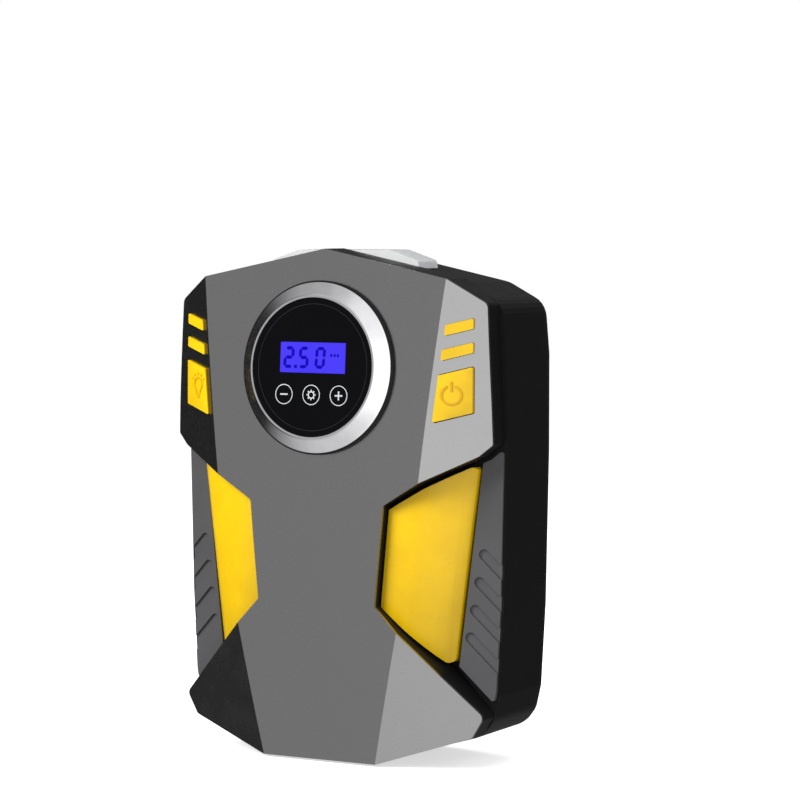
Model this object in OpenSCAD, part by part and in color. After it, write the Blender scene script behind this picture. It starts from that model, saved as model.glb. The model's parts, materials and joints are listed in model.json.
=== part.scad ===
// Digital tyre inflator for the car: an upright case with an armoured front, a round pressure
// display, side grips, a work light on top and a hose bay behind, round a motor-driven
// piston compressor. Millimetres. Origin on the ground, under the middle of the case.
// X to the right seen from the front, Y to the back, Z up.

/* [Case] */
// Height of the front armour's top ridge above the ground
case_h = 198.8; // [190:0.1:205]
// Most forward point of the crowned front panel
panel_y = -29.75; // [-31:0.05:-29]
// Plane where the front shell meets the rear housing
split_y = -8; // [-9:0.1:-7.5]
// Outer face of the back
back_y = 34.35; // [34:0.05:36]
// Wall thickness of the shells
wall = 2.5; // [2:0.1:2.6]
// Radius of the rounded edge round the back
back_round = 8; // [5:0.5:10]

/* [Front armour] */
// Thickness of the painted fascia
fascia_t = 1.2; // [0.8:0.1:1.4]
// Radius of the front panel's crown about the X axis
crown_r = 1100; // [900:10:1500]
// Height at which the crown is most forward
crown_z = 73; // [68:1:78]

/* [Display] */
// Height of the round display's centre
display_z = 153; // [150:0.5:155]
// Outer radius of the silver ring
ring_r = 32.9; // [31.5:0.1:33.2]
// Outer radius of the display lens
lens_r = 26.8; // [26:0.1:27]
// Width of the lit display
lcd_w = 29.2; // [26:0.1:30]
// Height of the lit display
lcd_h = 11.6; // [10:0.1:12]
// Spacing of the three keys
key_pitch = 12.3; // [11:0.1:13]
// Radius of a key
key_r = 4; // [3:0.1:4.2]
// Travel of a key
key_travel = 0.5; // [0.3:0.1:0.6]

/* [Side buttons] */
// Height of the buttons above the bevel
button_lift = 1; // [0.6:0.1:1.2]
// Travel of the power and light buttons
button_travel = 0.8; // [0.5:0.1:1]
// Gap round a button
button_gap = 0.35; // [0.25:0.05:0.5]

/* [Storage door] */
// Half width of the bay behind the door
bay_x = 52; // [46:0.5:52]
// Lowest and highest level of the bay
bay_z = [106, 176];
// Thickness of the door
door_t = 2.5; // [2:0.1:3]
// Radius of the door's hinge pin
pin_r = 1.25; // [1:0.05:1.5]

/* [Compressor] */
// Gear module
gear_module = 0.8; // [0.8:0.1:0.8]
// Teeth on the motor pinion
pinion_teeth = 17; // [17:1:17]
// Teeth on the crank gear
crank_teeth = 51; // [51:1:51]
// Throw of the crank pin, half of the stroke
crank_throw = 8; // [6:0.5:8]
// Radius of the cylinder bore
bore_r = 10; // [9:0.5:10]

/* [Hidden] */

fit = 0.05;          // radial clearance of a running fit
seam = 0.15;         // gap between pieces of the case that only touch
round_steps = 5;     // straight steps in a rounded corner of an outline
far = 120;           // longer than anything in the case
fine = 720;          // facets of the very large surfaces
black = [0.09, 0.09, 0.10];
grey = [0.44, 0.45, 0.47];
slate = [0.28, 0.28, 0.29];
yellow = [0.95, 0.76, 0.10];
steel = [0.72, 0.73, 0.75];

// ---------------------------------------------------------------- outlines
// An outline is a list of [x, z, corner radius], clockwise seen from the front.
// Half outlines run down the right side, from top to bottom.
// The housing's last value is only a mark: 1 where the corner is rounded by housing_corner.

front_half = [
    [0, case_h, 0], [54.3, 187.7, 2], [68.7, 178.2, 3], [70.6, 138, 0], [71, 125, 1.5],
    [66.1, 120.6, 2], [45.3, 110.4, 0], [29.9, 101, 0.8], [26.2, 62.4, 0.8], [35.8, 52.5, 0],
    [67.4, 21.2, 2.5], [62.5, 12.9, 2], [25.3, 1, 2]
];
housing_half = [
    [21, 193.4, 1], [54, 186.5, 1], [70.3, 178, 1], [72, 158, 0],
    [72, 120, 0], [70.7, 60, 0], [68.8, 28, 0], [66.6, 18.4, 1], [61.8, 12.2, 1],
    [25.3, 1.4, 1]
];
grip_outline = [
    [30.5, 99.3, 1.2], [44.6, 107.9, 0], [62.3, 117, 1.5], [52.3, 38.6, 2], [36.4, 52.9, 0],
    [26.9, 61.9, 1.2]
];
panel_outline = [
    [63.2, 117.4, 0.8], [66.4, 118.9, 0], [71.1, 122.7, 0.8], [71.2, 119, 0], [69.9, 60, 0],
    [68.3, 30, 0], [67.5, 25.6, 0.8], [53.9, 39.2, 1]
];
// Creases where a bevel leaves the panel: [x, z, taper dx/dz, slope dy/dx]
upper_bevel = [45.2, 110.4, 0.1171, 0.465];
lower_bevel = [35.8, 52.5, 0.2043, 0.285];
housing_corner = 10; // radius of the housing's rounded corners
bevel_split = 82;    // between the upper and the lower bevels

function unit(v) = v / norm(v);
function flat(p) = [p.x, p.y];
function span(mid, half) = [mid - half, mid + half];
function mirrored(half) = concat(half,
    [for (i = [len(half) - 1:-1:0]) if (half[i].x > 0) [-half[i].x, half[i].y, half[i].z]]);
function inward(a, b) = let (u = unit(b - a)) [u.y, -u.x];
function inset(pts, d) = let (n = len(pts)) [
    for (i = [0:n - 1])
        let (p = flat(pts[i]), a = flat(pts[(i + n - 1) % n]), b = flat(pts[(i + 1) % n]),
             s = inward(a, p), t = inward(p, b), q = p + d * (s + t) / (1 + s * t),
             convex = cross(p - a, b - p) < 0, r = pts[i].z + (convex ? -d : d))
        [q.x, q.y, pts[i].z > 0 && r > 0.4 ? r : 0]
];
function corner(a, p, b, r) = r <= 0 ? [p] :
    let (u = unit(a - p), w = unit(b - p), half = acos(u * w) / 2, c = p + unit(u + w) * r / sin(half),
         s = p + u * r / tan(half) - c, e = p + w * r / tan(half) - c)
    [for (i = [0:round_steps]) c + r * unit(s * (round_steps - i) + e * i)];
function rounded(pts) = let (n = len(pts)) [
    for (i = [0:n - 1])
        each corner(flat(pts[(i + n - 1) % n]), flat(pts[i]), flat(pts[(i + 1) % n]), pts[i].z)
];

// An outline run along Y from y0 to y1
module prism(pts, y0, y1) {
    translate([0, y1, 0]) rotate([90, 0, 0]) linear_extrude(y1 - y0) polygon(rounded(pts));
}
module both_sides() {
    children();
    mirror([1, 0, 0]) children();
}
// A cylinder along Y from y0 to y1 at [x, z]
module along_y(p, r, y0, y1, steps = 48) {
    translate([p.x, y0, p.y]) rotate([-90, 0, 0]) cylinder(r = r, h = y1 - y0, $fn = steps);
}
module along_x(x0, x1, r, y, z, steps = 48) {
    translate([x0, y, z]) rotate([0, 90, 0]) cylinder(r = r, h = x1 - x0, $fn = steps);
}
module along_z(p, r, z0, z1, steps = 48) {
    translate([p.x, p.y, z0]) cylinder(r = r, h = z1 - z0, $fn = steps);
}
module box(x, y, z) {
    translate([x[0], y[0], z[0]]) cube([x[1] - x[0], y[1] - y[0], z[1] - z[0]]);
}

// ---------------------------------------------------------------- armour faces
function crown_at(z) = panel_y + (z - crown_z) * (z - crown_z) / (2 * crown_r);
function crease_x(b, z) = b[0] + b[2] * (z - b[1]);

// Everything behind the crowned panel, moved back by dy
module crown_block(dy) {
    translate([0, panel_y + dy + crown_r, crown_z]) rotate([0, 90, 0])
        cylinder(r = crown_r, h = 2 * far, center = true, $fn = fine);
}
// Everything behind a right-hand bevel: the same crown, swung about Z by the bevel's slope
module bevel_block(b, dy) {
    apex_z = crown_z + crown_r * b[3] * b[2];
    swing = atan(b[3]);
    r = crown_r / cos(swing);
    translate([crease_x(b, apex_z), crown_at(apex_z) + dy, apex_z]) rotate([0, 0, swing])
        translate([0, r, 0]) rotate([0, 90, 0])
            cylinder(r = r, h = 2 * far, center = true, $fn = fine);
}
module bevel_cut(b, z, dy) {
    difference() {
        box([20, 90], [-60, 30], z);
        bevel_block(b, dy);
    }
}
// Everything behind the armour's faces, moved back by dy
module behind_face(dy) {
    difference() {
        intersection() {
            box([-90, 90], [-60, 30], [-10, 220]);
            crown_block(dy);
        }
        both_sides() {
            bevel_cut(upper_bevel, [bevel_split, 230], dy);
            bevel_cut(lower_bevel, [-20, bevel_split], dy);
        }
    }
}

// ---------------------------------------------------------------- display frame
// The display stands square to the crowned panel: local -Y leaves the panel.
display_y = crown_at(display_z);
display_tilt = atan((display_z - crown_z) / crown_r);
base_r = ring_r + 0.7;
hole_r = ring_r - 1.9;
lens_front = -5;
lens_back = -3;
lcd_z = 3.7;
key_z = -10.6;
board_front = 1.2;
key_end = -0.15;        // inner end of a key's stem
module on_display() {
    translate([0, display_y, display_z]) rotate([-display_tilt, 0, 0]) children();
}

// ---------------------------------------------------------------- side buttons
// Buttons and bars are four-sided, their inner edge beside the crease: [lowest z, highest z]
power_span = [133.4, 151.3];
bar_spans = [[156.8, 160.9], [166.2, 170.3]];
chip_outer_x = 64.4;
chip_rise = 0.27;
function chip_inner_x(z) = crease_x(upper_bevel, z) + 2.6;
function chip_rise_at(z) = chip_rise * (chip_outer_x - chip_inner_x(z));
function chip(span) = [
    [chip_inner_x(span[1]), span[1], 0.5],
    [chip_outer_x, span[1] + chip_rise_at(span[1]), 0.5],
    [chip_outer_x, span[0] + chip_rise_at(span[0]), 0.5],
    [chip_inner_x(span[0]), span[0], 0.5]
];
button_at = [57.2, 144];
shell_back = fascia_t + wall;       // depth of the shell's inner face behind the armour's face
flange_gap = 0.1;
flange_w = 1.1;                     // how far the flange stands out past the cap
flange_back = -13.8;
board_y = [-5.3, -3.7];
switch_y = [board_y[0] - 4.15, board_y[0] - 0.05];
stem_r = 1.6;
stem_end = switch_y[0] + 1;

// A cap, the flange that keeps it behind the shell, and the stem that presses the switch
module button_solid() {
    intersection() {
        prism(chip(power_span), -60, flange_back);
        bevel_block(upper_bevel, -button_lift);
    }
    intersection() {
        prism(inset(chip(power_span), -flange_w), -60, flange_back);
        bevel_block(upper_bevel, shell_back + flange_gap);
    }
    along_y(button_at, stem_r, flange_back - 1, stem_end);
}

module switch_solid() {
    difference() {
        box(span(button_at.x, 3), switch_y, span(button_at.y, 3));
        along_y(button_at, stem_r + fit, switch_y[0] - 1, stem_end + button_travel + 0.4);
    }
}

// ---------------------------------------------------------------- case
screw_at = [[61.5, 166], [61, 129], [53.5, 22.5]];
boss_r = 4;
screw_r = 1.45;
head_r = 2.7;
seat_y = 10;         // where the screw heads sit, deep in the housing
gland_at = [-38, 18];
lamp_y = [-7.7, 7];
bay_front = 4.25;
knuckle_r = 3;
pin_at = [bay_x - knuckle_r - 0.35, back_y - knuckle_r - 0.1];
scoop_r = 9;
scoop_depth = 1.8;

module front_fascia() color(grey) difference() {
    intersection() {
        prism(mirrored(front_half), -60, 0);
        behind_face(0);
    }
    behind_face(fascia_t);
    on_display() {
        along_y([0, 0], base_r + seam, -9, 0.5, 96);
        along_y([0, 0], hole_r, -9, 9, 96);
    }
    both_sides() {
        prism(inset(chip(power_span), -button_gap), -60, 0);
        for (s = bar_spans) prism(inset(chip(s), -seam), -60, 0);
    }
}

module front_shell() color(black) {
    difference() {
        intersection() {
            prism(mirrored(front_half), -60, split_y);
            behind_face(fascia_t);
        }
        intersection() {
            prism(inset(mirrored(front_half), wall), -60, 0);
            behind_face(shell_back);
        }
        on_display() along_y([0, 0], hole_r, -9, 9, 96);
        both_sides() prism(inset(chip(power_span), -button_gap), -60, 0);
    }
    // screw bosses, each with its pilot bore
    both_sides() for (p = screw_at) difference() {
        intersection() {
            along_y(p, boss_r, -60, split_y);
            behind_face(shell_back - 0.3);
        }
        along_y(p, screw_r + fit, split_y - 6.5, 0, 32);
    }
}

// A closed skin through rings of points, each ring [y, outline points in XZ], front to back
module loft(rings) {
    n = len(rings[0][1]);
    last = len(rings) - 1;
    points = [for (ring = rings) for (p = ring[1]) [p.x, ring[0], p.y]];
    polyhedron(points, concat(
        [[for (i = [0:n - 1]) i]],
        [for (k = [0:last - 1]) for (i = [0:n - 1]) let (a = k * n, b = a + n, j = (i + 1) % n)
            each [[a + i, b + j, a + j], [a + i, b + i, b + j]]],
        [[for (i = [n - 1:-1:0]) last * n + i]]
    ));
}
// The housing's outline pulled in by d, with the same points for every d
function housing_ring(d) = rounded([
    for (p = inset(mirrored([for (q = housing_half) [q.x, q.y, far * q.z]]), d))
        [p.x, p.y, p.z > 0 ? max(housing_corner - d, 1) : 0]
]);
// The housing as a solid from y0 to y1, d inside its outline, its back edge rounded by r
module housing_solid(y0, y1, d, r) {
    loft(concat([[y0, housing_ring(d)]],
        [for (a = [0:18:90]) [y1 - r * (1 - sin(a)), housing_ring(d + 0.6 + r * (1 - cos(a)))]]));
}
module housing_outer() {
    housing_solid(split_y, back_y, 0, back_round);
}
module housing_inner() {
    housing_solid(split_y + wall, back_y - wall, wall, back_round - wall);
}
module vent_slots() {
    // slots in the back, level with the motor and the cylinder
    for (i = [-6:6]) box(span(i * 7, 1.3), [back_y - 5, back_y + 5], [42, 78]);
    // slots under the case
    for (i = [-2:2]) box(span(i * 7, 1.3), [4, 22], [-5, 6]);
}
// Shallow dish across the free edge of the door
module finger_scoop() {
    translate([-bay_x - 1, back_y + scoop_r - scoop_depth, (bay_z[0] + bay_z[1]) / 2])
        sphere(r = scoop_r, $fn = 48);
}
module rear_housing() color(black) difference() {
    union() {
        difference() {
            housing_outer();
            housing_inner();
            // way through to the front shell
            prism(inset(mirrored(front_half), wall), split_y - 1, split_y + wall + 1);
            vent_slots();
            // lamp opening in the roof
            box([-31, 31], [-9, lamp_y[1] - 2], [180, 200]);
        }
        both_sides() for (p = screw_at) along_y(p, boss_r + 0.8, split_y, back_y - 1.5);
        // posts for the compressor frame
        for (z = frame_ear_z) along_y([frame_ear_x, z], 4, 26, back_y - wall + 0.2);
    }
    // way into the storage bay
    box([-bay_x, bay_x], [back_y - wall - 1, back_y + 1], bay_z);
    finger_scoop();
    // screw bores and their deep counterbores
    both_sides() for (p = screw_at) {
        along_y(p, screw_r + 0.15, split_y - 1, back_y + 1, 32);
        along_y(p, head_r + 0.5, seat_y, back_y + 1, 32);
    }
    hinge_pin_hole();
    // hose port hole in the left wall
    along_x(-80, -60, port_r, port_at.x, port_at.y);
    // pilot bores of the compressor posts
    for (z = frame_ear_z) along_y([frame_ear_x, z], 1.3, 20, back_y - wall + 0.8, 32);
    for (p = foot_at) along_z(p, foot_r + 0.1, -1, foot_seat, 32);
}
module hinge_pin_hole() {
    along_z(pin_at, pin_r, bay_z[0] - wall - 1, bay_z[1] + wall + 1, 32);
}
// The storage bay, a tub open at the back, with posts on its roof for the lamp's board
module storage_bay() color(black) difference() {
    union() {
        box([-bay_x - wall, bay_x + wall], [bay_front - wall, back_y - wall - 0.02],
            [bay_z[0] - wall, bay_z[1] + wall]);
        for (x = [-20, 20]) along_z([x, 3.4], 1.8, bay_z[1] + 1, lamp_board_z[0]);
    }
    box([-bay_x, bay_x], [bay_front, back_y + 1], bay_z);
    hinge_pin_hole();
    along_z(gland_at, gland_r, bay_z[0] - wall - 1, bay_z[0] + 1, 48);
}

// The grip: a cylinder bulge leaning with the notch
grip_r = 45;
grip_axis = [27.5, 19.25];
grip_lean = atan(0.115);
module grip_solid() {
    intersection() {
        prism(grip_outline, -60, split_y - seam);
        translate([grip_axis.x, grip_axis.y, 97.9]) rotate([0, grip_lean, 0])
            cylinder(r = grip_r, h = 2 * far, center = true, $fn = 360);
    }
}
module right_grip() color(yellow) grip_solid();
module left_grip() color(yellow) mirror([1, 0, 0]) grip_solid();

// The side panel: a leaning plate with four grooves open at the outer edge
panel_lean = 0.2;
groove_r = 2.1;
groove_depth = 0.9;
module panel_face(dy) {
    // half-space behind the leaning face
    translate([58, -11.55 + dy, 0]) rotate([0, 0, atan(panel_lean)])
        translate([-60, 0, -20]) cube([120, 60, 260]);
}
module side_panel_solid() {
    difference() {
        intersection() {
            prism(panel_outline, -30, split_y - seam);
            panel_face(0);
        }
        for (k = [0:3]) difference() {
            translate([63.6 - 1.75 * k, 0, 82.5 - 10.7 * k]) rotate([90, 45, 0])
                linear_extrude(60, center = true) union() {
                    circle(r = groove_r, $fn = 32);
                    translate([0, -groove_r]) square([30, 2 * groove_r]);
                }
            panel_face(groove_depth);
        }
    }
}
module right_side_panel() color(slate) side_panel_solid();
module left_side_panel() color(slate) mirror([1, 0, 0]) side_panel_solid();

// ---------------------------------------------------------------- display
module bezel_base() color(black) on_display() difference() {
    union() {
        along_y([0, 0], base_r, -1.4, 0.4, 128);
        along_y([0, 0], hole_r - 0.1, 0.3, 5.5, 96);
        along_y([0, 0], lens_r, lens_back, -1.3, 96);
    }
    along_y([0, 0], lens_r - 2, -9, 0.5, 96);
    along_y([0, 0], lens_r, 0.4, 9, 96);
}
module bezel_ring() color(steel) on_display() rotate([-90, 0, 0])
    rotate_extrude($fn = 160) polygon([
        [lens_r + 0.1, -1.4], [ring_r, -1.4], [ring_r, -1.9], [ring_r - 0.6, -2.3],
        [lens_r + 1.4, -5.3], [lens_r + 0.9, -5.5], [lens_r + 0.1, -5.5]
    ]);
module key_places() {
    for (x = [-key_pitch, 0, key_pitch]) translate([x, 0, key_z]) children();
}
module display_lens() color([0.03, 0.03, 0.04]) on_display() difference() {
    along_y([0, 0], lens_r, lens_front, lens_back, 128);
    box([-lcd_w / 2 - 0.1, lcd_w / 2 + 0.1], [-9, 0], span(lcd_z, lcd_h / 2 + 0.1));
    key_places() along_y([0, 0], key_r + 0.15, -9, 0);
}
module lcd_panel() color([0.30, 0.26, 0.96]) on_display() union() {
    box([-lcd_w / 2, lcd_w / 2], [lens_front + 0.1, lens_back + 0.2],
        span(lcd_z, lcd_h / 2));
    box([-17, 17], [lens_back + 0.05, -1.6], [-4.4, 12.2]);
}
module lcd_backlight() color([0.9, 0.92, 0.95]) on_display()
    box([-17, 17], [-1.55, 0.9], [-4.4, 12.2]);
module display_board() color([0.05, 0.3, 0.15]) on_display() difference() {
    along_y([0, 0], lens_r - 0.2, board_front, board_front + 1.6, 96);
    for (a = [30, 150, 270]) along_y(24 * [cos(a), sin(a)], 1.1, 0, 4, 32);
}
module display_switches() color([0.2, 0.2, 0.2]) on_display() key_places() difference() {
    box([-3, 3], [-0.9, board_front - 0.02], [-3, 3]);
    along_y([0, 0], 1 + fit, -2, key_end + key_travel + 0.25, 32);
}
module display_key(side) {
    color([0.05, 0.05, 0.06]) on_display() translate([side * key_pitch, 0, key_z]) union() {
        along_y([0, 0], key_r, lens_front - 0.05, -2.5);
        along_y([0, 0], key_r + 0.7, -2.85, -2.1);
        along_y([0, 0], 1, -2.2, key_end, 32);
    }
}
module minus_key() display_key(-1);
module set_key() display_key(0);
module plus_key() display_key(1);

// ---------------------------------------------------------------- side buttons
module power_button() color(yellow) button_solid();
module light_button() color(yellow) mirror([1, 0, 0]) button_solid();
module power_switch() color([0.2, 0.2, 0.2]) switch_solid();
module light_switch() color([0.2, 0.2, 0.2]) mirror([1, 0, 0]) switch_solid();
module accent_bars() {
    for (s = bar_spans) difference() {
        intersection() {
            prism(chip(s), -60, 0);
            bevel_block(upper_bevel, -button_lift + 0.1);
        }
        bevel_block(upper_bevel, fascia_t - 0.02);
    }
}
module right_accent_bars() color(yellow) accent_bars();
module left_accent_bars() color(yellow) mirror([1, 0, 0]) accent_bars();

// ---------------------------------------------------------------- boards
module main_board() color([0.05, 0.3, 0.15]) difference() {
    union() {
        box([-48, 48], board_y, [112, 174]);
        box([-64, 64], board_y, [137, 157]);
        // tongue that carries the pressure sensor
        box(span(sensor_x, 8), board_y, [88, 113]);
    }
    both_sides() for (z = [116, 170]) along_y([44, z], 1.6, -9, 0, 32);
}
module board_components() color([0.15, 0.15, 0.16]) {
    // relay, capacitor, connector and controller, on the front of the board
    box([20, 38], [-18, board_y[0] - 0.02], [116, 130]);
    along_y([-30, 122], 5, -19, board_y[0] - 0.02, 40);
    box([-14, 8], [-11, board_y[0] - 0.02], [115, 121]);
    box([-8, 6], [-8.4, board_y[0] - 0.02], [140, 154]);
}
sensor_x = -20;
sensor_back = -0.7;
module pressure_sensor() color([0.85, 0.85, 0.8]) difference() {
    union() {
        box(span(sensor_x, 6), [board_y[1] + 0.02, sensor_back], [90, 104]);
        along_y([sensor_x, port_at.y], 2, sensor_back - 0.1, 1.5, 32);
    }
    along_y([sensor_x, port_at.y], 0.8, sensor_back - 1.5, 3, 32);
}

// ---------------------------------------------------------------- work light
lamp_top = 198.3;
lamp_wall = 1.5;
lamp_board_z = [185.2, 186.8];
lamp_outline = [
    [-33.5, 191.2, 0], [-33, 194.2, 1.5], [-20.5, lamp_top, 3], [20.5, lamp_top, 3], [33, 194.2, 1.5],
    [33.5, 191.2, 0], [30.5, 190, 0], [30.5, 187.5, 0], [-30.5, 187.5, 0], [-30.5, 190, 0]
];
lamp_hollow = [
    [-28.5, 192.5, 1], [-19.5, 196.1, 1], [19.5, 196.1, 1], [28.5, 192.5, 1], [28.5, 187, 0],
    [-28.5, 187, 0]
];
module lamp_lens() color([0.92, 0.93, 0.95]) difference() {
    prism(lamp_outline, lamp_y[0], lamp_y[1]);
    prism(lamp_hollow, lamp_y[0] + lamp_wall, lamp_y[1] - 2.2 - lamp_wall);
    // keep the skirt clear of the roof
    difference() {
        housing_solid(split_y - 1, back_y, 0, back_round);
        box([-30.6, 30.6], [-20, lamp_y[1] - 2.2], [100, 230]);
    }
}
module lamp_board() color([0.95, 0.95, 0.95])
    box([-28, 28], [lamp_y[0] + 1, 4.6], lamp_board_z);
module lamp_leds() color([1, 0.95, 0.7])
    for (i = [-3:3]) box(span(i * 7.5, 1.75), [-3, 0.5], span(lamp_board_z[1] + 0.7, 0.7));

// ---------------------------------------------------------------- back
door_gap = 0.35;
module storage_door() color(black) difference() {
    union() {
        box([-bay_x + door_gap, pin_at.x + 0.4], [back_y - door_t, back_y],
            [bay_z[0] + door_gap, bay_z[1] - door_gap]);
        along_z(pin_at, knuckle_r, bay_z[0] + door_gap, bay_z[1] - door_gap);
        // stiffening ribs inside
        for (z = [122, 141, 160]) box([-40, 40], [back_y - door_t - 1.5, back_y - door_t + 0.1],
            span(z, 0.75));
    }
    along_z(pin_at, pin_r + fit, bay_z[0] - 5, bay_z[1] + 5, 32);
    finger_scoop();
}
module door_hinge_pin() color(steel)
    along_z(pin_at, pin_r, bay_z[0] - wall + 0.2, bay_z[1] + wall - 0.2, 32);
gland_r = 4.5;
module cord_gland() color([0.08, 0.08, 0.08]) difference() {
    union() {
        along_z(gland_at, gland_r, bay_z[0] - wall - 1.5, bay_z[0] + 0.1);
        along_z(gland_at, gland_r + 1.5, bay_z[0] + 0.02, bay_z[0] + 2);
        along_z(gland_at, gland_r + 1.2, bay_z[0] - wall - 2.5, bay_z[0] - wall - 0.05);
    }
    along_z(gland_at, 2.75, 90, 120, 40);
}
foot_at = [for (x = [-17, 17]) for (y = [-2, 22]) [x, y]];
foot_r = 5.5;
foot_seat = 2.4;
module rubber_feet() color([0.12, 0.12, 0.12]) for (p = foot_at)
    translate([p.x, p.y, 0]) rotate_extrude($fn = 48) polygon([
        [0, 0], [foot_r - 1, 0], [foot_r - 0.3, 0.3], [foot_r, 1], [foot_r, foot_seat - 0.05],
        [0, foot_seat - 0.05]
    ]);
module housing_screws() color(steel) both_sides() for (p = screw_at) difference() {
    union() {
        along_y(p, screw_r, split_y - 6, seat_y, 32);
        along_y(p, head_r, seat_y, seat_y + 2.2, 32);
    }
    for (a = [0, 90]) translate([p.x, seat_y + 2.2, p.y]) rotate([0, a, 0])
        cube([3.2, 2.4, 0.7], center = true);
}

// ---------------------------------------------------------------- compressor
crank_at = [7, 30];                                   // [y, z] of the crank's axis
pitch_r = gear_module * [pinion_teeth, crank_teeth] / 2;
gear_distance = pitch_r[0] + pitch_r[1];
motor_at = crank_at + [5, sqrt(gear_distance * gear_distance - 25)];
mesh_angle = atan2(motor_at.y - crank_at.y, motor_at.x - crank_at.x);
plate_x = [2, 7];
gear_x = [9, 14];
rod_x = [20.3, 24.9];
rod_l = 54;
cyl_at = [(rod_x[0] + rod_x[1]) / 2, crank_at.x];     // [x, y] of the cylinder's axis
shelf_z = [66, 70];
cylinder_z = [shelf_z[1], 93];
head_z = [93, 100.5];
fin_r = 12.4;
pin_z = crank_at.y - crank_throw;                     // crank pin at bottom dead centre
piston_h = 7;
piston_top = pin_z + rod_l;
frame_ear_x = -1;
frame_ear_z = [12, 84];
motor_r = 15;
motor_x = [-48, 2];
port_at = [7, 97];                                    // [y, z] of the hose port
port_r = 6;
port_x = [-71.2, -60];
port_bore_x = [-68.4, -62];                           // the plug's bore, behind a wider mouth
port_bore_r = 4.05;

// Involute spur gear in the XY plane, with a tooth on the +X side
function inv_deg(a) = tan(a) * 180 / PI - a;
function tooth_half(r, rb, rp, z) =
    90 / z - 0.35 / rp * 180 / PI / 4 + inv_deg(20) - inv_deg(acos(min(rb / r, 1)));
function polar(r, a) = r * [cos(a), sin(a)];
function gear_points(z, m) =
    let (rp = m * z / 2, rb = rp * cos(20), root = rp - 1.25 * m, tip = rp + 0.95 * m,
         low = max(root, rb), steps = [0:3])
    [for (i = [0:z - 1]) let (a = 360 * i / z) each concat(
        [polar(root, a - tooth_half(low, rb, rp, z))],
        [for (k = steps) let (r = low + (tip - low) * k / 3) polar(r, a - tooth_half(r, rb, rp, z))],
        [for (k = steps) let (r = tip - (tip - low) * k / 3) polar(r, a + tooth_half(r, rb, rp, z))],
        [polar(root, a + tooth_half(low, rb, rp, z))]
    )];
// A gear turned to run along X at [y, z]; turn is the angle of its first tooth in the YZ plane
module spur(z, x, at, turn) {
    translate([x[0], at.x, at.y]) rotate([turn, 0, 0]) rotate([90, 0, 90])
        linear_extrude(x[1] - x[0]) polygon(gear_points(z, gear_module));
}

module gearbox_frame() color([0.62, 0.63, 0.65]) difference() {
    union() {
        // plate across the gear train, with an ear at each end
        translate([plate_x[0], 0, 0]) rotate([90, 0, 90]) linear_extrude(plate_x[1] - plate_x[0])
            polygon([[-4, 14], [2, 8], [26, 8], [26, 88], [16, 88], [-4, 74]]);
        for (z = frame_ear_z) box([frame_ear_x - 5, plate_x[0] + 1], [22.5, 25], span(z, 4));
        // shelf that carries the cylinder
        box([plate_x[0] + 1, 36.5], [-4, 20], shelf_z);
        // crank bearing boss
        along_x(-4, plate_x[0] + 1, 8.2, crank_at.x, crank_at.y);
    }
    along_x(-3, plate_x[1] + 1, 6.5, crank_at.x, crank_at.y);
    along_x(-5, 0, 3.4, crank_at.x, crank_at.y);
    along_x(0, 9, 6, motor_at.x, motor_at.y);
    along_z(cyl_at, bore_r, shelf_z[0] - 1, shelf_z[1] + 1, 64);
    for (z = frame_ear_z) along_y([frame_ear_x, z], 1.6, 20, 28, 32);
    for (a = [90, 270]) translate([0, motor_at.x, motor_at.y]) rotate([a, 0, 0])
        along_x(0, 9, 1.6, 9, 0, 32);
}
module frame_screws() color(steel) {
    for (z = frame_ear_z) {
        along_y([frame_ear_x, z], 1.25, 20.5, back_y - wall - 0.2, 32);
        along_y([frame_ear_x, z], 2.8, 20.3, 22.5, 32);
    }
}
module frame_bushes() color([0.1, 0.1, 0.1]) for (z = frame_ear_z) difference() {
    along_y([frame_ear_x, z], 2.8, 25.02, 25.98);
    along_y([frame_ear_x, z], 1.5, 20, 30, 32);
}
module motor_can() color([0.55, 0.56, 0.58]) difference() {
    along_x(motor_x[0] + 3, motor_x[1], motor_r, motor_at.x, motor_at.y, 96);
    along_x(motor_x[0], motor_x[1] - 1.5, motor_r - 1.2, motor_at.x, motor_at.y, 96);
    along_x(-20, 10, 4, motor_at.x, motor_at.y);
    for (a = [0:60:300]) translate([0, motor_at.x, motor_at.y]) rotate([a, 0, 0])
        box([motor_x[0] + 6, motor_x[0] + 12], [10, 20], [-2.5, 2.5]);
}
module motor_end_cap() color([0.15, 0.15, 0.16]) difference() {
    union() {
        along_x(motor_x[0], motor_x[0] + 3, motor_r, motor_at.x, motor_at.y, 96);
        along_x(motor_x[0] + 2.9, motor_x[0] + 5, motor_r - 1.25, motor_at.x, motor_at.y, 96);
    }
    along_x(-60, 0, 4, motor_at.x, motor_at.y);
}
module motor_bushes() color([0.7, 0.55, 0.3]) difference() {
    union() {
        along_x(motor_x[0] - 0.5, motor_x[0] + 5, 4, motor_at.x, motor_at.y);
        along_x(motor_x[1] - 3.5, motor_x[1] + 1.5, 4, motor_at.x, motor_at.y);
    }
    along_x(-60, 20, 1.6 + fit, motor_at.x, motor_at.y, 32);
}
module motor_magnets() color([0.25, 0.25, 0.27]) difference() {
    along_x(motor_x[0] + 13, motor_x[1] - 6, motor_r - 1.25, motor_at.x, motor_at.y, 96);
    along_x(motor_x[0] + 10, motor_x[1], motor_r - 3.4, motor_at.x, motor_at.y, 96);
    box([motor_x[0], motor_x[1]], span(motor_at.x, 4), span(motor_at.y, 20));
}
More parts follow.
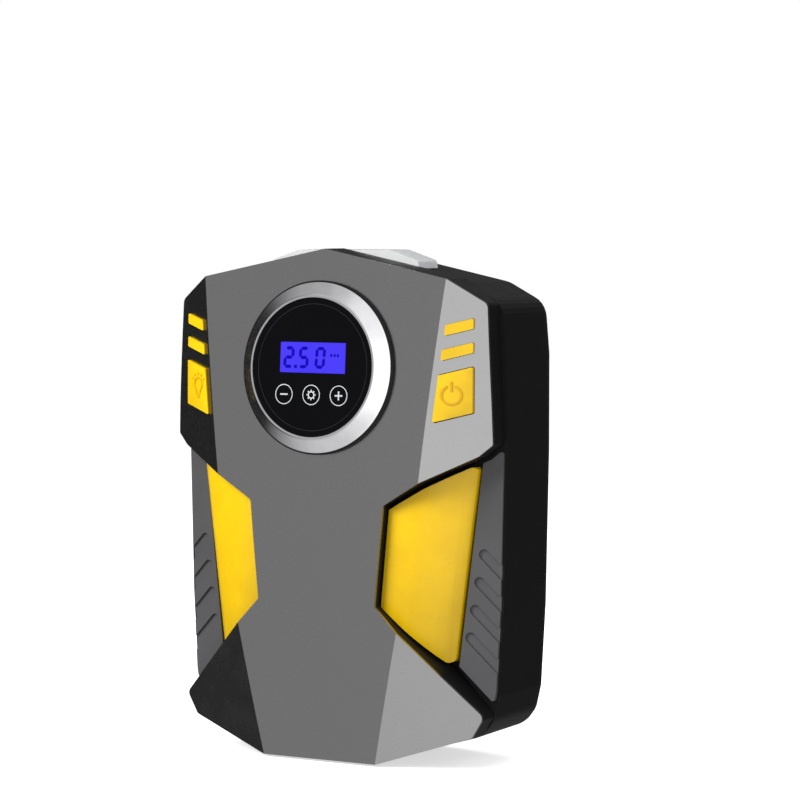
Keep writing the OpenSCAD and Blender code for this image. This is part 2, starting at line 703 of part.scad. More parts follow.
module motor_armature() color([0.6, 0.35, 0.2]) difference() {
    union() {
        along_x(motor_x[0] + 14, motor_x[1] - 7, 11, motor_at.x, motor_at.y);
        along_x(motor_x[0] + 7, motor_x[0] + 14.1, 4.5, motor_at.x, motor_at.y);
    }
    along_x(-60, 20, 1.6, motor_at.x, motor_at.y, 32);
    for (a = [0:72:288]) translate([0, motor_at.x, motor_at.y]) rotate([a, 0, 0])
        box([motor_x[0] + 13.5, 0], [7, 12], [-0.9, 0.9]);
}
module motor_shaft() color(steel)
    along_x(-57, gear_x[1] + 0.5, 1.6, motor_at.x, motor_at.y, 32);
module cooling_fan() color([0.2, 0.2, 0.22]) translate([0, motor_at.x, motor_at.y]) difference() {
    union() {
        along_x(-56, -50, 4.5, 0, 0);
        for (a = [0:45:315]) rotate([a, 0, 0]) translate([-53, 9, 0]) rotate([0, 35, 0])
            cube([1.2, 11, 6.5], center = true);
    }
    along_x(-60, -40, 1.6, 0, 0, 32);
}
module drive_pinion() color([0.75, 0.62, 0.3]) difference() {
    spur(pinion_teeth, gear_x, motor_at, mesh_angle + 180 + 180 / pinion_teeth);
    along_x(0, 20, 1.6, motor_at.x, motor_at.y, 32);
}
module crank_gear() color([0.86, 0.86, 0.82]) union() {
    difference() {
        spur(crank_teeth, gear_x, crank_at, mesh_angle);
        along_x(0, 20, 3, crank_at.x, crank_at.y, 32);
        for (a = [60, 120, 240, 300]) translate([0, crank_at.x, crank_at.y]) rotate([a, 0, 0])
            along_x(0, 20, 3.6, 12, 0, 32);
    }
    // crank boss and pin
    along_x(gear_x[1] - 1, 17, 5.2, crank_at.x, pin_z);
    along_x(16, rod_x[0] - 0.3, 3, crank_at.x, pin_z, 32);
}
module crank_shaft() color(steel) along_x(-2.8, gear_x[1] - 0.5, 3, crank_at.x, crank_at.y, 32);
module crank_bearing() color([0.7, 0.72, 0.74]) difference() {
    along_x(-2.5, plate_x[1] - 0.5, 6.5, crank_at.x, crank_at.y);
    along_x(-5, 10, 3 + fit, crank_at.x, crank_at.y, 32);
}
module cylinder_fins() {
    for (z = [cylinder_z[0] + 3:4:cylinder_z[1] - 3]) along_z(cyl_at, fin_r, z, z + 1.6, 64);
}
module air_cylinder() color([0.75, 0.76, 0.78]) difference() {
    union() {
        along_z(cyl_at, 11.5, cylinder_z[0], cylinder_z[1], 64);
        cylinder_fins();
    }
    along_z(cyl_at, bore_r, 50, 120, 64);
}
module cylinder_head() color([0.7, 0.71, 0.73]) difference() {
    union() {
        along_z(cyl_at, fin_r, head_z[0] + 0.02, head_z[1], 64);
        along_x(4, 14, 3.4, port_at.x, port_at.y);
    }
    along_x(0, 14, 1.5, port_at.x, port_at.y, 32);
    along_z(cyl_at, 3, 90, 97, 32);
    for (p = cyl_holes) along_z(p, 1.25, 80, 110, 32);
}
cyl_holes = [for (a = [45:90:315]) cyl_at + (fin_r - 2.2) * [cos(a), sin(a)]];
module head_screws() color(steel) for (p = cyl_holes) {
    along_z(p, 1.2, head_z[0] + 0.5, head_z[1] + 0.05, 32);
    along_z(p, 2, head_z[1] + 0.02, head_z[1] + 1.6, 32);
}
module piston_rod() color([0.78, 0.78, 0.8]) union() {
    difference() {
        along_x(rod_x[0], rod_x[1], 5.5, crank_at.x, pin_z);
        along_x(10, 30, 3 + fit, crank_at.x, pin_z, 32);
    }
    box(rod_x, span(crank_at.x, 2.6), [pin_z + 4.5, piston_top - 3]);
    difference() {
        along_z(cyl_at, bore_r - 0.4, piston_top - piston_h, piston_top, 64);
        difference() {
            along_z(cyl_at, bore_r + 1, piston_top - 3, piston_top - 1.2, 64);
            along_z(cyl_at, bore_r - 2, piston_top - 4, piston_top, 64);
        }
    }
}
module piston_seal() color([0.9, 0.9, 0.88]) difference() {
    along_z(cyl_at, bore_r - 0.05, piston_top - 2.95, piston_top - 1.25, 64);
    along_z(cyl_at, bore_r - 1.95, piston_top - 5, piston_top, 64);
}
module air_tube() color([0.3, 0.3, 0.32]) difference() {
    union() {
        along_x(-60, 4, 3, port_at.x, port_at.y);
        along_y([sensor_x, port_at.y], 2.6, 2.6, port_at.x, 32);
    }
    along_x(-70, 10, 1.4, port_at.x, port_at.y, 32);
    along_y([sensor_x, port_at.y], 1.1, 0, port_at.x, 32);
}
module sensor_tube() color([0.8, 0.8, 0.82]) difference() {
    along_y([sensor_x, port_at.y], 2.6, 1.5, 2.6, 32);
    along_y([sensor_x, port_at.y], 1.1, 0, 4, 32);
}
module hose_port() color([0.75, 0.62, 0.32]) difference() {
    union() {
        along_x(port_x[0], port_x[1], port_r - 0.05, port_at.x, port_at.y);
        along_x(-68.4, -66, port_r + 1.5, port_at.x, port_at.y, 6);
    }
    along_x(-80, port_bore_x[0], port_bore_r + 0.6, port_at.x, port_at.y);
    along_x(-80, port_bore_x[1], port_bore_r, port_at.x, port_at.y);
    along_x(-80, -50, 1.4, port_at.x, port_at.y, 32);
}

front_fascia();
front_shell();
rear_housing();
storage_bay();
left_grip();
right_grip();
left_side_panel();
right_side_panel();
bezel_base();
bezel_ring();
display_lens();
lcd_panel();
lcd_backlight();
display_board();
display_switches();
minus_key();
set_key();
plus_key();
power_button();
light_button();
power_switch();
light_switch();
left_accent_bars();
right_accent_bars();
main_board();
board_components();
pressure_sensor();
lamp_lens();
lamp_board();
lamp_leds();
storage_door();
door_hinge_pin();
cord_gland();
rubber_feet();
housing_screws();
gearbox_frame();
frame_screws();
frame_bushes();
motor_can();
motor_end_cap();
motor_bushes();
motor_magnets();
motor_armature();
motor_shaft();
cooling_fan();
drive_pinion();
crank_gear();
crank_shaft();
crank_bearing();
air_cylinder();
cylinder_head();
head_screws();
piston_rod();
piston_seal();
air_tube();
sensor_tube();
hose_port();
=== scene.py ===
"""Looks of the digital tyre inflator: materials, display, icons, studio and camera."""
import json
import math

import bmesh
import bpy
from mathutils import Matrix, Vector
from mathutils.bvhtree import BVHTree


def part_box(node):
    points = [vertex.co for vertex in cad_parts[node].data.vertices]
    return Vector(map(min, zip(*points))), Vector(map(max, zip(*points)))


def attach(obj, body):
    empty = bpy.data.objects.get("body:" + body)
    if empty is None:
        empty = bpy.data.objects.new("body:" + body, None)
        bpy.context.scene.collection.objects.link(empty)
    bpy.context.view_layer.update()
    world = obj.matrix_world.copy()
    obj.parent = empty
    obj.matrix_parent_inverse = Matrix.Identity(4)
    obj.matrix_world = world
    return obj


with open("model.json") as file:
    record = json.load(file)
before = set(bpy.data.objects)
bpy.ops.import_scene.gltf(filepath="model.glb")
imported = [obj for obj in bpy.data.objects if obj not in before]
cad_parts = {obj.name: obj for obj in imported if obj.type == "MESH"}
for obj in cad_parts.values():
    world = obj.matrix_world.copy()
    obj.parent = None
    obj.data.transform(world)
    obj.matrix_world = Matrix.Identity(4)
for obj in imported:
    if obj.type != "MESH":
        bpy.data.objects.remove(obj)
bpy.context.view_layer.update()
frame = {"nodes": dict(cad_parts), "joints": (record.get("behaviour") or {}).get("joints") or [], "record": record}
MM = 0.001


# ------------------------------------------------------------------ materials
def linear(red, green, blue):
    """A screen colour, 0 to 255, as linear light."""
    def channel(value):
        c = value / 255
        return c / 12.92 if c <= 0.04045 else ((c + 0.055) / 1.055) ** 2.4
    return (channel(red), channel(green), channel(blue), 1.0)


def scaled(colour, factor):
    return tuple(min(c * factor, 1.0) for c in colour[:3]) + (1.0,)


class Surface:
    """A Principled material whose colour, roughness and bump are built up from procedural noise."""

    def __init__(self, name, colour, roughness, **sockets):
        self.material = bpy.data.materials.new(name)
        self.material.use_nodes = True
        self.tree = self.material.node_tree
        self.shader = self.tree.nodes["Principled BSDF"]
        self.shader.inputs["Base Color"].default_value = colour
        self.shader.inputs["Roughness"].default_value = roughness
        for socket, value in sockets.items():
            self.shader.inputs[socket.replace("_", " ")].default_value = value
        self.colour = colour
        self.roughness = roughness
        self.place = self.tree.nodes.new("ShaderNodeTexCoord").outputs["Object"]
        self.height = None

    def node(self, kind):
        return self.tree.nodes.new(kind)

    def noise(self, size, detail=3.0, stretch=(1, 1, 1)):
        """Noise whose features are about size metres across."""
        mapping = self.node("ShaderNodeMapping")
        mapping.inputs["Scale"].default_value = stretch
        self.tree.links.new(self.place, mapping.inputs["Vector"])
        noise = self.node("ShaderNodeTexNoise")
        noise.inputs["Scale"].default_value = 1 / size
        noise.inputs["Detail"].default_value = detail
        self.tree.links.new(mapping.outputs["Vector"], noise.inputs["Vector"])
        return noise.outputs["Fac"]

    def spread(self, source, low, high):
        """source, mostly 0.3 to 0.7, mapped to low to high."""
        mapped = self.node("ShaderNodeMapRange")
        for socket, value in zip(("From Min", "From Max", "To Min", "To Max"), (0.3, 0.7, low, high)):
            mapped.inputs[socket].default_value = value
        self.tree.links.new(source, mapped.inputs["Value"])
        return mapped.outputs["Result"]

    def mottle(self, source, amount):
        """Colour wanders by amount, a share of its brightness, with source."""
        ramp = self.node("ShaderNodeValToRGB")
        ramp.color_ramp.elements[0].position = 0.3
        ramp.color_ramp.elements[1].position = 0.7
        ramp.color_ramp.elements[0].color = scaled(self.colour, 1 - amount)
        ramp.color_ramp.elements[1].color = scaled(self.colour, 1 + amount)
        self.tree.links.new(source, ramp.inputs["Fac"])
        self.tree.links.new(ramp.outputs["Color"], self.shader.inputs["Base Color"])
        return self

    def uneven(self, source, amount):
        """Roughness wanders by amount with source."""
        rough = self.spread(source, self.roughness - amount, self.roughness + amount)
        self.tree.links.new(rough, self.shader.inputs["Roughness"])
        return self

    def bump(self, source, depth, strength=1.0):
        """A bump depth metres deep, added over any earlier one."""
        bump = self.node("ShaderNodeBump")
        bump.inputs["Distance"].default_value = depth
        bump.inputs["Strength"].default_value = strength
        self.tree.links.new(source, bump.inputs["Height"])
        if self.height:
            self.tree.links.new(self.height, bump.inputs["Normal"])
        self.height = bump.outputs["Normal"]
        self.tree.links.new(self.height, self.shader.inputs["Normal"])
        return self


def metallic_paint():
    paint = Surface("metallic_grey_paint", (0.36, 0.36, 0.362, 1), 0.27, Metallic=0.98,
                    Coat_Weight=0.06, Coat_Roughness=0.2)
    flake = paint.noise(0.25 * MM, 2)
    paint.mottle(flake, 0.07).uneven(paint.noise(9 * MM), 0.02)
    paint.bump(paint.noise(1.1 * MM), 0.006 * MM, 0.4)
    return paint.material


def moulded(name, colour, roughness, grain=0.35, depth=0.02, **sockets):
    """Spark-eroded mould texture: a fine grain with slow unevenness over it."""
    plastic = Surface(name, colour, roughness, **sockets)
    slow = plastic.noise(14 * MM)
    plastic.mottle(slow, 0.06).uneven(plastic.noise(5 * MM), 0.04)
    plastic.bump(plastic.noise(grain * MM, 4), depth * MM, 0.7)
    return plastic.material


def turned_metal(name, colour, roughness, fine=0.12, depth=0.004, stretch=(1, 1, 1)):
    metal = Surface(name, colour, roughness, Metallic=1.0)
    line = metal.noise(fine * MM, 3, stretch)
    metal.mottle(metal.noise(6 * MM), 0.05).uneven(line, 0.05)
    metal.bump(line, depth * MM, 0.6)
    return metal.material


def dark_glass():
    glass = Surface("dark_glass", linear(4, 4, 6), 0.05, IOR=1.22)
    glass.uneven(glass.noise(20 * MM), 0.012)
    glass.bump(glass.noise(25 * MM, 1), 0.01 * MM, 0.25)
    return glass.material


def lit_display():
    lcd = Surface("lit_display", linear(20, 12, 110), 0.4, Emission_Strength=0.78)
    lcd.mottle(lcd.noise(12 * MM), 0.08)
    ramp = lcd.node("ShaderNodeValToRGB")
    ramp.color_ramp.elements[0].color = linear(62, 44, 252)
    ramp.color_ramp.elements[1].color = linear(78, 62, 250)
    lcd.tree.links.new(lcd.noise(18 * MM, 1), ramp.inputs["Fac"])
    lcd.tree.links.new(ramp.outputs["Color"], lcd.shader.inputs["Emission Color"])
    lcd.bump(lcd.noise(0.4 * MM, 1), 0.004 * MM, 0.4)
    return lcd.material


def clear_cover():
    cover = Surface("clear_cover", (0.92, 0.93, 0.94, 1), 0.18, Transmission_Weight=0.3, IOR=1.45)
    cover.mottle(cover.noise(6 * MM), 0.02)
    cover.uneven(cover.noise(4 * MM), 0.04).bump(cover.noise(9 * MM, 1), 0.03 * MM, 0.4)
    return cover.material


def circuit_board():
    board = Surface("solder_mask", (0.015, 0.11, 0.045, 1), 0.35)
    board.mottle(board.noise(1.5 * MM, 2, (1, 1, 4)), 0.3)
    board.bump(board.noise(1.5 * MM, 2, (1, 1, 4)), 0.03 * MM, 0.6)
    return board.material


YELLOW = linear(250, 203, 6)
MATERIALS = {
    "fascia_paint": metallic_paint(),
    "black_shell": moulded("black_texture", linear(17, 16, 17), 0.5, 0.4, 0.03, Specular_IOR_Level=0.3),
    "yellow_plastic": moulded("yellow_satin", YELLOW, 0.30, 0.6, 0.008, Coat_Weight=0.15,
                              Coat_Roughness=0.2, Subsurface_Weight=0.05, Subsurface_Scale=0.002),
    "slate_plastic": moulded("slate_texture", linear(84, 84, 86), 0.5, 0.5, 0.03),
    "ring_metal": turned_metal("satin_ring", (0.86, 0.86, 0.88, 1), 0.2),
    "dark_lens": dark_glass(),
    "lcd_blue": lit_display(),
    "backlight": moulded("light_guide", (0.85, 0.88, 0.92, 1), 0.3, 0.8, 0.02),
    "circuit_board": circuit_board(),
    "component_black": moulded("component_black", linear(30, 30, 32), 0.45),
    "white_plastic": moulded("white_plastic", (0.82, 0.82, 0.80, 1), 0.35),
    "lamp_clear": clear_cover(),
    "led_yellow": moulded("led_phosphor", (0.9, 0.75, 0.2, 1), 0.3, 0.2, 0.01),
    "steel": turned_metal("plated_steel", (0.62, 0.62, 0.64, 1), 0.28),
    "zinc_casting": moulded("zinc_casting", (0.55, 0.56, 0.58, 1), 0.48, 0.8, 0.05, Metallic=1.0),
    "rubber_black": moulded("rubber", linear(28, 28, 28), 0.75, 0.5, 0.03, Specular_IOR_Level=0.3),
    "brass": turned_metal("turned_brass", (0.80, 0.58, 0.24, 1), 0.24),
    "bronze": moulded("sintered_bronze", (0.52, 0.33, 0.16, 1), 0.45, 0.3, 0.04, Metallic=1.0),
    "ferrite": moulded("ferrite", (0.06, 0.06, 0.065, 1), 0.6, 0.3, 0.04),
    "copper_winding": turned_metal("enamelled_copper", (0.60, 0.24, 0.10, 1), 0.3, 0.4, 0.06, (1, 6, 6)),
    "gear_nylon": moulded("gear_nylon", (0.80, 0.78, 0.70, 1), 0.38),
    "tube_grey": moulded("tube_rubber", (0.07, 0.07, 0.075, 1), 0.5),
}
SLOT_OF = {row["node"]: row["material_slot"] for row in frame["record"]["subparts"]}


def dress(piece, slot, material=None):
    piece.data.materials.clear()
    piece.data.materials.append(material or MATERIALS[slot])


EDGE_BREAK = 0.25 * MM
SHARP_EDGE = math.radians(38)
SAME_POINT = 0.002 * MM


def soften(node):
    """Break the sharp edges of a CAD node with modifiers, which leave its mesh as it is."""
    piece = frame["nodes"][node]
    weld = piece.modifiers.new("weld", "WELD")
    weld.merge_threshold = SAME_POINT
    bevel = piece.modifiers.new("edge_break", "BEVEL")
    bevel.width = EDGE_BREAK
    bevel.segments = 2
    bevel.limit_method = "ANGLE"
    bevel.angle_limit = SHARP_EDGE
    bevel.harden_normals = True


for name, piece in frame["nodes"].items():
    dress(piece, SLOT_OF[name])


# ------------------------------------------------------------------ thin pieces on the surfaces
def plate(name, outlines, place, lift, body, slot, material=None, sink=0.05):
    """A piece of flat shapes, each a closed outline of (u, v) in mm.

    place(u, v, lift) gives the point lift mm in front of a surface; the shapes reach sink mm behind it.
    """
    mesh = bmesh.new()
    for outline in outlines:
        front = [mesh.verts.new(place(u, v, lift)) for u, v in outline]
        back = [mesh.verts.new(place(u, v, -sink)) for u, v in outline]
        cap = mesh.faces.new(front)
        mesh.faces.new(back[::-1])
        for i in range(len(outline)):
            j = (i + 1) % len(outline)
            mesh.faces.new((front[j], front[i], back[i], back[j]))
        bmesh.ops.triangulate(mesh, faces=[cap])
    bmesh.ops.recalc_face_normals(mesh, faces=mesh.faces)
    data = bpy.data.meshes.new(name)
    mesh.to_mesh(data)
    mesh.free()
    piece = bpy.data.objects.new(name, data)
    bpy.context.scene.collection.objects.link(piece)
    dress(piece, slot, material)
    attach(piece, body)


def arc(radius, start, end, steps, centre=(0, 0)):
    """Points at radius from start to end degrees, counted clockwise from the top."""
    angles = [math.radians(start + (end - start) * i / steps) for i in range(steps + 1)]
    return [(centre[0] + radius * math.sin(a), centre[1] + radius * math.cos(a)) for a in angles]


def band(radius, width, start=0.0, end=360.0, steps=48, centre=(0, 0)):
    """A ring or arc of that width, as short four-sided pieces."""
    inner = arc(radius - width / 2, start, end, steps, centre)
    outer = arc(radius + width / 2, start, end, steps, centre)
    return [[inner[i], outer[i], outer[i + 1], inner[i + 1]] for i in range(steps)]


def bar(u, v, width, height):
    left, right = u - width / 2, u + width / 2
    low, high = v - height / 2, v + height / 2
    return [(left, low), (right, low), (right, high), (left, high)]


def stroke(start, end, width):
    """A straight bar between two points."""
    along = (Vector(end) - Vector(start)).normalized() * width / 2
    side = Vector((-along.y, along.x))
    a, b = Vector(start), Vector(end)
    return [tuple(a - side), tuple(b - side), tuple(b + side), tuple(a + side)]


# The display's own axes: across, up and out of the glass, from its middle on the lens's front face
LENS_T = 2.0
INWARD = Vector(next(j["axis"] for j in frame["joints"] if j["name"] == "set_press")).normalized()
OUT = -INWARD
ACROSS = Vector((1, 0, 0))
UP = OUT.cross(ACROSS).normalized() * (1 if OUT.cross(ACROSS).z > 0 else -1)


def middle(node):
    low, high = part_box(node)
    return (low + high) / 2


LENS_FRONT = middle("display_lens") + OUT * LENS_T / 2 * MM
CLEAR_OF_FRONT = -0.2                      # y of a point in front of the whole case


def on_display(u, v, lift):
    return LENS_FRONT + (ACROSS * u + UP * v + OUT * lift) * MM


def key_centre(node):
    """(u, v) of a key on the display, in mm."""
    offset = middle(node) - LENS_FRONT
    return offset.dot(ACROSS) / MM, offset.dot(UP) / MM


def on_node(node):
    """A placing function that drops (x, z) onto the front of a CAD node."""
    mesh = frame["nodes"][node].data
    tree = BVHTree.FromPolygons([v.co for v in mesh.vertices], [p.vertices for p in mesh.polygons])

    def place(u, v, lift):
        start = Vector((u * MM, CLEAR_OF_FRONT, v * MM))
        hit = tree.ray_cast(start, Vector((0, 1, 0)))[0]
        return hit - Vector((0, lift * MM, 0))
    return place


# ------------------------------------------------------------------ display
LCD_W, LCD_UP = 29.2, 3.7                  # lit window: width, and its middle's height above the lens's
LCD_BACK = 0.1                             # how far the window lies behind the lens's front
DIGIT_W, DIGIT_H, DIGIT_SLANT = 4.6, 8.4, 0.07
SEGMENT_W, SEGMENT_GAP = 1.3, 0.1
SEGMENTS = {                               # ends of each bar, in halves of the digit's box
    "a": ((-1, 1), (1, 1)), "b": ((1, 1), (1, 0)), "c": ((1, 0), (1, -1)), "d": ((1, -1), (-1, -1)),
    "e": ((-1, -1), (-1, 0)), "f": ((-1, 0), (-1, 1)), "g": ((-1, 0), (1, 0)),
}
LIT = {"2": "abged", "5": "afgcd", "0": "abcdef"}
READING = (("2", 3.9), ("5", 10.6), ("0", 18.0))          # figures, and their middles from the window's left
POINT_AT = 7.0
UNIT_AT, UNIT_PITCH, UNIT_UP = 22.9, 1.5, 1.0             # three small marks to the right of the number
UNIT_MARK = (0.9, 1.1)
INK_PROUD = 0.03

KEY_RING, KEY_LINE = 3.75, 0.34                           # radius and width of the ring round a key's sign
SIGN_LENGTH, SIGN_LINE = 3.4, 0.6
COG_RING, COG_LINE, COG_TEETH = 1.25, 0.5, 8
COG_TOOTH = (1.4, 2.0, 0.55)                              # start, end and width of a tooth
PRINT_PROUD = 0.09
STEP_RADIUS, STEP_LINE, STEP_PROUD = 24.4, 0.14, 0.05     # fine line near the edge of the glass: a grey ring of painted highlight where the glass's stepped edge catches light


def digit(figure, u):
    """The lit bars of a seven-segment figure whose middle is at u, as pointed bars."""
    shapes = []
    half_w, half_h = (DIGIT_W - SEGMENT_W) / 2, (DIGIT_H - SEGMENT_W) / 2
    for key in LIT[figure]:
        (ax, ay), (bx, by) = SEGMENTS[key]
        a = Vector((ax * half_w, ay * half_h))
        b = Vector((bx * half_w, by * half_h))
        along = (b - a).normalized()
        side = Vector((-along.y, along.x)) * SEGMENT_W / 2
        a, b = a + along * SEGMENT_GAP, b - along * SEGMENT_GAP
        tip = along * SEGMENT_W / 2
        points = [a, a + tip - side, b - tip - side, b, b - tip + side, a + tip + side]
        shapes.append([(u + p.x + DIGIT_SLANT * p.y, LCD_UP + p.y) for p in points])
    return shapes


def ray_at(degrees):
    """A unit step in that direction, clockwise from the top."""
    angle = math.radians(degrees)
    return Vector((math.sin(angle), math.cos(angle)))


def rays(centre, angles, start, end, width):
    """Short bars that point away from centre."""
    middle_point = Vector(centre)
    return [stroke(middle_point + ray_at(a) * start, middle_point + ray_at(a) * end, width) for a in angles]


def number():
    ink = moulded("display_ink", linear(4, 2, 40), 0.6, 0.3, 0.004, Specular_IOR_Level=0.08)
    sockets = ink.node_tree.nodes["Principled BSDF"].inputs
    sockets["Emission Color"].default_value = linear(16, 4, 190)
    sockets["Emission Strength"].default_value = 0.9
    left = -LCD_W / 2
    shapes = []
    for figure, place in READING:
        shapes += digit(figure, left + place)
    shapes.append(bar(left + POINT_AT, LCD_UP - DIGIT_H / 2 + SEGMENT_W / 2, SEGMENT_W, SEGMENT_W))
    shapes += [bar(left + UNIT_AT + UNIT_PITCH * i, LCD_UP + UNIT_UP, *UNIT_MARK) for i in range(3)]
    plate("lcd_digits", shapes, on_display, INK_PROUD - LCD_BACK, "case", "lcd_blue", ink,
          LCD_BACK + INK_PROUD)


def key_signs():
    """A ring round each key, with a minus, a cog or a plus in it."""
    white = moulded("key_print", linear(205, 208, 212), 0.4, 0.3, 0.004)
    for sign in ("minus", "set", "plus"):
        key = sign + "_key"
        u, v = key_centre(key)
        shapes = band(KEY_RING, KEY_LINE, centre=(u, v))
        if sign == "set":
            teeth = [360 / COG_TEETH * k for k in range(COG_TEETH)]
            shapes += band(COG_RING, COG_LINE, steps=32, centre=(u, v))
            shapes += rays((u, v), teeth, *COG_TOOTH)
        else:
            shapes.append(bar(u, v, SIGN_LENGTH, SIGN_LINE))
        if sign == "plus":
            arm = (SIGN_LENGTH - SIGN_LINE) / 2
            middle_of_arm = (SIGN_LINE + arm) / 2
            shapes += [bar(u, v + side * middle_of_arm, SIGN_LINE, arm) for side in (1, -1)]
        plate(sign + "_mark", shapes, on_display, PRINT_PROUD, key, "white_plastic", white, 0.0)


def painted_glass_glint():
    # Its grey is a painted highlight: the glint on the glass's stepped edge, drawn in all the way round.
    step = Surface("painted_glass_glint", linear(52, 53, 58), 0.3, Metallic=0.3)
    step.mottle(step.noise(10 * MM), 0.3)
    plate("painted_glass_glint", band(STEP_RADIUS, STEP_LINE, steps=120), on_display, STEP_PROUD, "case",
          "dark_lens", step.material)


# ------------------------------------------------------------------ icons on the yellow buttons
ICON_PROUD = 0.3
# Darker than the buttons' yellow: painted shade standing in for the shading along the raised lines of the icons,
# which are the buttons' own yellow.
ICON_SHADE_YELLOW = moulded("icon_painted_shade", linear(232, 180, 6), 0.35, 0.6, 0.008)

POWER_RING, POWER_LINE = 3.5, 0.75
POWER_GAP = 24                             # degrees either side of the top where the ring is open
POWER_BAR_UP, POWER_BAR_LENGTH = 3.2, 3.8

BULB_UP = 1.2                              # height of the glass's middle above the button's switch
BULB_RING, BULB_LINE, BULB_ROUND = 2.5, 0.6, 140
NECK_TOP, NECK_END = (1.6, -1.95), (1.0, -3.6)
BASE_BARS = ((-4.1, 2.4), (-5.1, 1.6))     # height and width of the lines under the bulb
BULB_RAYS = (-60, -30, 0, 30, 60)
BULB_RAY = (3.6, 4.5, 0.5)                 # start, end and width


def icon(name, shapes, button):
    plate(name, shapes, on_node(button), ICON_PROUD, button, "yellow_plastic", ICON_SHADE_YELLOW)


def power_icon():
    centre = middle("power_switch")
    x, z = centre.x / MM, centre.z / MM
    shapes = band(POWER_RING, POWER_LINE, POWER_GAP, 360 - POWER_GAP, 44, (x, z))
    shapes.append(bar(x, z + POWER_BAR_UP, POWER_LINE, POWER_BAR_LENGTH))
    icon("power_icon", shapes, "power_button")


def bulb_icon():
    centre = middle("light_switch")
    x, z = centre.x / MM, centre.z / MM + BULB_UP
    shapes = band(BULB_RING, BULB_LINE, -BULB_ROUND, BULB_ROUND, 30, (x, z))
    for side in (-1, 1):
        top = (x + side * NECK_TOP[0], z + NECK_TOP[1])
        end = (x + side * NECK_END[0], z + NECK_END[1])
        shapes.append(stroke(top, end, BULB_LINE))
    shapes += [bar(x, z + up, width, BULB_LINE) for up, width in BASE_BARS]
    shapes += rays((x, z), BULB_RAYS, *BULB_RAY)
    icon("bulb_icon", shapes, "light_button")


number()
key_signs()
painted_glass_glint()
power_icon()
bulb_icon()
for name in ("power_button", "light_button", "left_grip", "right_grip"):
    soften(name)


# ------------------------------------------------------------------ studio
FLOOR_HALF = 6.0
FLOOR_GLOW = 0.62                          # keeps the far floor as white as the backdrop

CAMERA_AT = (0.64106, -1.07186, 0.21127)
CAMERA_DOWN, CAMERA_TURN = 3.303, 30.068   # degrees below level, and right of the front
CAMERA_LENS = 143.33

# brightness that gloss sees round the horizon, at degrees right of the front
PANELS = (
    (-180, 0.12), (-130, 0.06), (-122, 0.01), (-53, 0.01), (-42, 0.40), (-20, 0.47), (-8, 0.62),
    (8, 1.25), (30, 1.35), (58, 1.15), (80, 0.4), (100, 0.06), (160, 0.05), (180, 0.12),
)
PANEL_RANGE = 2                            # a ramp's colours stop at 1, so it holds levels over this
# share of the even light above and below, from straight down, 0, to straight up, 1
EVEN_SHARE = ((0.0, 0.95), (0.12, 0.85), (0.30, 0.0), (0.68, 0.0), (0.85, 0.55), (1.0, 0.65))
EVEN_LIGHT = (0.66, 0.66, 0.66, 1)
MATT_FILL = (0.42, 0.42, 0.43, 1)
LIGHTS_AIM = Vector((0, 0, 0.1))
BACKDROP = (1, 1, 1, 1)
MIX_A, MIX_B, MIX_RESULT = 6, 7, 2         # the Mix node's colour sockets


def floor():
    mesh = bpy.data.meshes.new("floor")
    corners = [(x * FLOOR_HALF, y * FLOOR_HALF, 0) for x, y in ((-1, -1), (1, -1), (1, 1), (-1, 1))]
    mesh.from_pydata(corners, [], [(0, 1, 2, 3)])
    piece = bpy.data.objects.new("floor", mesh)
    bpy.context.scene.collection.objects.link(piece)
    paper = Surface("floor_paper", (0.90, 0.90, 0.90, 1), 0.9)
    paper.mottle(paper.noise(0.3), 0.01)
    paper.shader.inputs["Emission Color"].default_value = (1, 1, 1, 1)
    paper.shader.inputs["Emission Strength"].default_value = FLOOR_GLOW
    mesh.materials.append(paper.material)
    piece.visible_glossy = False
    piece.visible_diffuse = False


def area_light(name, azimuth, elevation, distance, size, watts, colour=(1, 1, 1)):
    """A soft light at azimuth degrees right of the front and elevation degrees up, facing the case."""
    a, e = math.radians(azimuth), math.radians(elevation)
    data = bpy.data.lights.new(name, "AREA")
    data.shape = "RECTANGLE"
    data.size, data.size_y = size
    data.energy = watts
    data.color = colour
    lamp = bpy.data.objects.new(name, data)
    away = Vector((math.sin(a) * math.cos(e), -math.cos(a) * math.cos(e), math.sin(e)))
    lamp.location = LIGHTS_AIM + away * distance
    lamp.rotation_euler = away.to_track_quat("Z", "Y").to_euler()
    lamp.visible_camera = False
    lamp.visible_glossy = False
    bpy.context.scene.collection.objects.link(lamp)


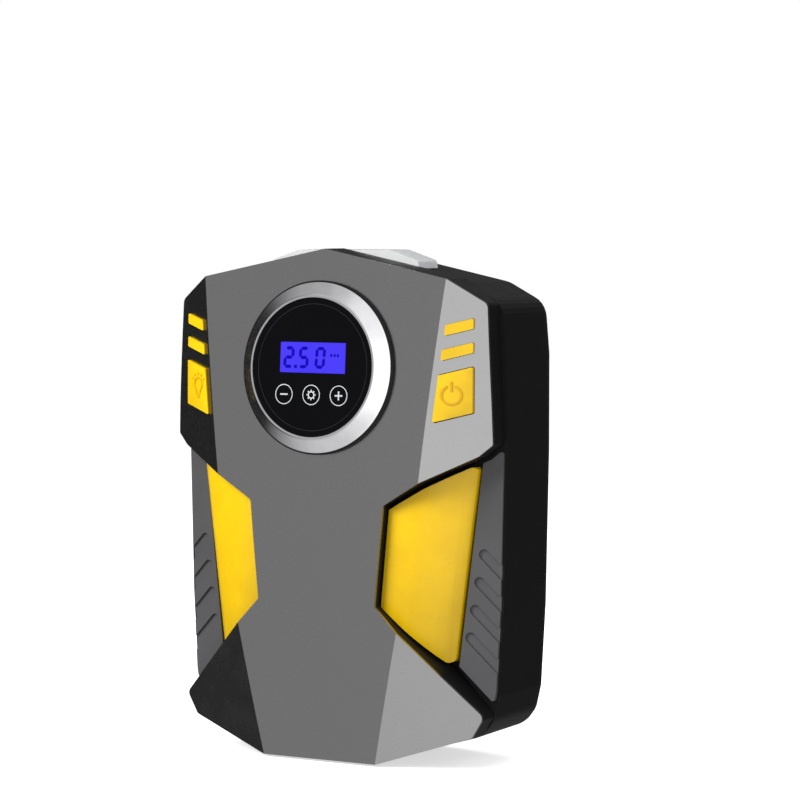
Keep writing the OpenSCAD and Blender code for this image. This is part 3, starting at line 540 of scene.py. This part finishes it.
def studio_world():
    """A white backdrop to the eye, an even fill to matt surfaces and a round of soft panels to gloss."""
    world = bpy.data.worlds.new("studio")
    world.use_nodes = True
    world.cycles.sampling_method = "NONE"
    bpy.context.scene.world = world
    tree = world.node_tree
    tree.nodes.clear()
    link, add = tree.links.new, tree.nodes.new

    def set_or_link(socket, value):
        """Give a socket a plain value, or another node's output."""
        if isinstance(value, bpy.types.NodeSocket):
            link(value, socket)
        else:
            socket.default_value = value

    def maths(operation, first, second):
        made = add("ShaderNodeMath")
        made.operation = operation
        set_or_link(made.inputs[0], first)
        set_or_link(made.inputs[1], second)
        return made.outputs[0]

    def share_of(source, most):
        """source, from -most to most, mapped to 0 to 1."""
        mapped = add("ShaderNodeMapRange")
        mapped.inputs["From Min"].default_value = -most
        mapped.inputs["From Max"].default_value = most
        link(source, mapped.inputs["Value"])
        return mapped.outputs["Result"]

    def grey_ramp(source, stops):
        ramp = add("ShaderNodeValToRGB")
        elements = ramp.color_ramp.elements
        while len(elements) < len(stops):
            elements.new(0.5)
        for element, (place, level) in zip(elements, stops):
            element.position = place
            element.color = (level, level, level, 1)
        link(source, ramp.inputs["Fac"])
        return ramp.outputs["Color"]

    def mix(factor, first, second, blend="MIX"):
        made = add("ShaderNodeMix")
        made.data_type = "RGBA"
        made.blend_type = blend
        made.clamp_result = False
        set_or_link(made.inputs["Factor"], factor)
        set_or_link(made.inputs[MIX_A], first)
        set_or_link(made.inputs[MIX_B], second)
        return made.outputs[MIX_RESULT]

    direction = add("ShaderNodeSeparateXYZ")
    link(add("ShaderNodeTexCoord").outputs["Generated"], direction.inputs["Vector"])
    azimuth = maths("ARCTAN2", direction.outputs["X"], maths("MULTIPLY", direction.outputs["Y"], -1))
    halved = [((degrees + 180) / 360, level / PANEL_RANGE) for degrees, level in PANELS]
    restore = (PANEL_RANGE, PANEL_RANGE, PANEL_RANGE, 1)
    panels = mix(1, grey_ramp(share_of(azimuth, math.pi), halved), restore, "MULTIPLY")
    even = grey_ramp(share_of(direction.outputs["Z"], 1), EVEN_SHARE)
    rays_traced = add("ShaderNodeLightPath").outputs
    gloss = mix(even, panels, EVEN_LIGHT)
    light = mix(rays_traced["Is Glossy Ray"], MATT_FILL, gloss)
    background = add("ShaderNodeBackground")
    link(mix(rays_traced["Is Camera Ray"], light, BACKDROP), background.inputs["Color"])
    link(background.outputs[0], add("ShaderNodeOutputWorld").inputs["Surface"])


def camera():
    data = bpy.data.cameras.new("camera")
    data.lens = CAMERA_LENS
    data.clip_start, data.clip_end = 0.05, 50
    eye = bpy.data.objects.new("camera", data)
    eye.location = CAMERA_AT
    eye.rotation_euler = (math.radians(90 - CAMERA_DOWN), 0, math.radians(CAMERA_TURN))
    bpy.context.scene.collection.objects.link(eye)
    bpy.context.scene.camera = eye


floor()
studio_world()
area_light("key", -34, 34, 1.3, (0.6, 0.6), 18, colour=(1, 0.99, 0.97))
area_light("side", 62, 25, 1.5, (0.6, 0.9), 5)
area_light("behind", 170, 50, 1.4, (0.8, 0.5), 8)
camera()
bpy.context.scene.view_settings.view_transform = "Standard"
